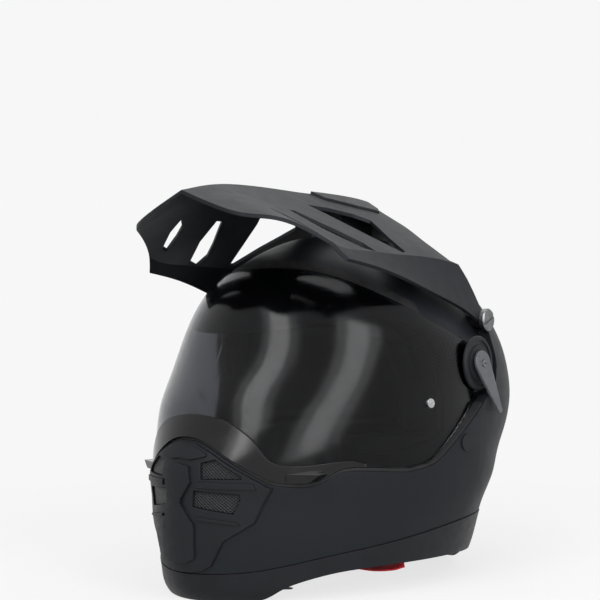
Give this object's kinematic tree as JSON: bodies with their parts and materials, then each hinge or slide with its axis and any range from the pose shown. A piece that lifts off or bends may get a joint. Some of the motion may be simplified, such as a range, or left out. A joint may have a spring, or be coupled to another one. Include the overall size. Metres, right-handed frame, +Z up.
{
  "type": "dual sport helmet",
  "caption": "Matte black full-face dual sport helmet with a long slotted peak, a wide smoke-tinted visor, a vented chin and a drop-down sun visor inside.",
  "frame": {"origin": "middle of the footprint at the height of the rim's flat base", "axes": "+X is the wearer's left, -Y is the front that the visor faces, +Z is up"},
  "size_m": [0.2593, 0.3359, 0.2996],
  "materials": {
    "shell_paint": "matte black lacquer",
    "trim_plastic": "fine grained",
    "gasket_rubber": "matte",
    "visor_tint": "smoke tint",
    "gloss_black": "gloss",
    "vent_mesh": "woven mesh",
    "pin_steel": "satin",
    "screw_alloy": "satin",
    "lever_grey": "satin",
    "foam_black": "fine beads",
    "lining_fabric": "brushed",
    "webbing_black": "woven",
    "webbing_red": "woven",
    "sun_tint": "dark tint"
  },
  "bodies": {
    "helmet": {"outer_shell": "shell_paint", "bottom_trim": "trim_plastic", "eyeport_gasket": "gasket_rubber", "brow_gasket": "gasket_rubber", "pivot_hubs": "trim_plastic", "pivot_covers": "trim_plastic", "pivot_cap": "lever_grey", "chin_guard": "trim_plastic", "chin_centre_plate": "trim_plastic", "nose_panel": "trim_plastic", "chin_ribs": "gloss_black", "vent_meshes": "vent_mesh", "side_plugs": "trim_plastic", "peak": "shell_paint", "peak_outlet": "trim_plastic", "peak_screws": "screw_alloy", "peak_bosses": "trim_plastic", "peak_duct": "trim_plastic", "crown_foam": "foam_black", "comfort_liner": "lining_fabric", "cheek_foams": "foam_black", "cheek_pad_left": "lining_fabric", "cheek_pad_right": "lining_fabric", "chin_foam": "foam_black", "neck_roll": "lining_fabric", "chin_curtain": "lining_fabric", "breath_deflector": "gasket_rubber", "strap_left": "webbing_black", "strap_right": "webbing_black", "buckle": "gloss_black"},
    "face_visor": {"face_visor": "visor_tint", "visor_rim": "gloss_black", "visor_tabs": "gloss_black", "lens_pins": "pin_steel"},
    "sun_visor": {"sun_visor": "sun_tint", "sun_visor_shaft": "pin_steel", "sun_visor_pin": "pin_steel", "sun_visor_lever": "lever_grey", "lever_screw": "screw_alloy"},
    "chin_shutter": {"chin_shutter": "trim_plastic"},
    "buckle_release": {"buckle_release": "pin_steel", "red_tab": "webbing_red"}
  },
  "joints": [
    {"name": "visor_lift", "type": "hinge", "parent": "helmet", "child": "face_visor", "pos_m": [0, 0.0332, 0.162], "axis": [-1, 0, 0], "range_deg": [0, 18]},
    {"name": "sun_visor_drop", "type": "hinge", "parent": "helmet", "child": "sun_visor", "pos_m": [0, 0.0332, 0.162], "axis": [1, 0, 0], "range_deg": [0, 28]},
    {"name": "chin_vent_shutter", "type": "slide", "parent": "helmet", "child": "chin_shutter", "axis": [0, 0, -1], "range_m": [0, 0.01]},
    {"name": "buckle_pull", "type": "slide", "parent": "helmet", "child": "buckle_release", "axis": [1, 0, 0], "range_m": [0, 0.004]}
  ]
}
